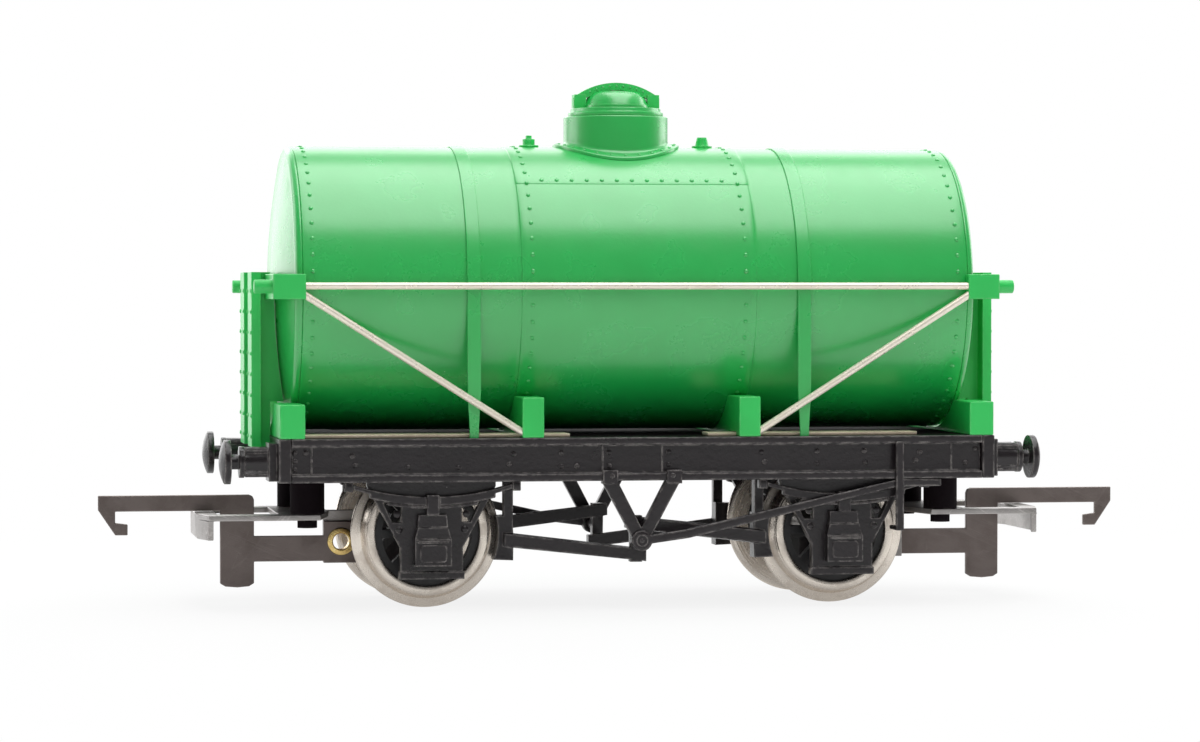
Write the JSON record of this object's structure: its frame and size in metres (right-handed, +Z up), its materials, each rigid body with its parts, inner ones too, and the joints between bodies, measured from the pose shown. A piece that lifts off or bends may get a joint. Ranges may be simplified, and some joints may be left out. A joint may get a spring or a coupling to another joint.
{
  "type": "model railway tank wagon",
  "caption": "Scale model of a railway tank car: a green tank with a filling dome on a black underframe, with turning wheelsets and lifting coupling hooks.",
  "frame": {"origin": "on the floor under the wagon's middle, at the height of the flange bottoms", "axes": "+X along the wagon, +Y across it away from the near side, +Z up"},
  "size_m": [0.102, 0.0308, 0.0511],
  "materials": {
    "green_plastic": "glossy bright green",
    "black_plastic": "satin black, dusty on the edges",
    "wheel_plastic": "satin black",
    "nickel_tyre": "polished warm nickel",
    "axle_steel": "turned",
    "eyelet_brass": "polished",
    "plate_steel": "blackened, worn on the edges",
    "hook_steel": "blackened",
    "bright_wire": "bright drawn wire",
    "deck_steel": "bright rolled strip"
  },
  "bodies": {
    "wagon": {"floor": "black_plastic", "solebar_near": "black_plastic", "solebar_far": "black_plastic", "headstock_left": "black_plastic", "headstock_right": "black_plastic", "buffers_left": "black_plastic", "buffers_right": "black_plastic", "axle_guard_left_near": "black_plastic", "axle_guard_left_far": "black_plastic", "axle_guard_right_near": "black_plastic", "axle_guard_right_far": "black_plastic", "axlebox_left_near": "black_plastic", "axlebox_left_far": "black_plastic", "axlebox_right_near": "black_plastic", "axlebox_right_far": "black_plastic", "leaf_spring_left_near": "black_plastic", "leaf_spring_left_far": "black_plastic", "leaf_spring_right_near": "black_plastic", "leaf_spring_right_far": "black_plastic", "brake_vee_near": "black_plastic", "brake_vee_far": "black_plastic", "brake_lever_near": "black_plastic", "brake_lever_far": "black_plastic", "lever_guard_near": "black_plastic", "lever_guard_far": "black_plastic", "brake_shoes_near": "black_plastic", "brake_shoes_far": "black_plastic", "coupling_plate_left": "plate_steel", "coupling_plate_right": "plate_steel", "coupling_eyelet_left": "eyelet_brass", "coupling_eyelet_right": "eyelet_brass", "tank_barrel": "green_plastic", "tank_end_left": "green_plastic", "tank_end_right": "green_plastic", "tank_strap_left": "green_plastic", "tank_strap_right": "green_plastic", "dome": "green_plastic", "dome_lid": "green_plastic", "lid_clamp": "green_plastic", "relief_valve": "green_plastic", "mushroom_vent": "green_plastic", "centre_saddles": "green_plastic", "end_cradles": "green_plastic", "end_beam_left": "green_plastic", "end_beam_right": "green_plastic", "end_posts_left": "green_plastic", "end_posts_right": "green_plastic", "stay_wires_near": "bright_wire", "stay_wires_far": "bright_wire", "deck_strips": "deck_steel"},
    "wheelset_left": {"axle_left": "axle_steel", "wheel_centres_left": "wheel_plastic", "tyres_left": "nickel_tyre"},
    "wheelset_right": {"axle_right": "axle_steel", "wheel_centres_right": "wheel_plastic", "tyres_right": "nickel_tyre"},
    "hook_left": {"coupling_hook_left": "hook_steel"},
    "hook_right": {"coupling_hook_right": "hook_steel"}
  },
  "joints": [
    {"name": "wheelset_left_turn", "type": "hinge", "parent": "wagon", "child": "wheelset_left", "pos_m": [-0.02, 0, 0.0072], "axis": [0, 1, 0], "continuous": true},
    {"name": "wheelset_right_turn", "type": "hinge", "parent": "wagon", "child": "wheelset_right", "pos_m": [0.02, 0, 0.0072], "axis": [0, 1, 0], "continuous": true},
    {"name": "hook_left_lift", "type": "hinge", "parent": "wagon", "child": "hook_left", "pos_m": [-0.0274, -0.00052, 0.006], "axis": [0, 1, 0], "range_deg": [0, 12]},
    {"name": "hook_right_lift", "type": "hinge", "parent": "wagon", "child": "hook_right", "pos_m": [0.0274, 0.00052, 0.006], "axis": [0, -1, 0], "range_deg": [0, 12]}
  ]
}
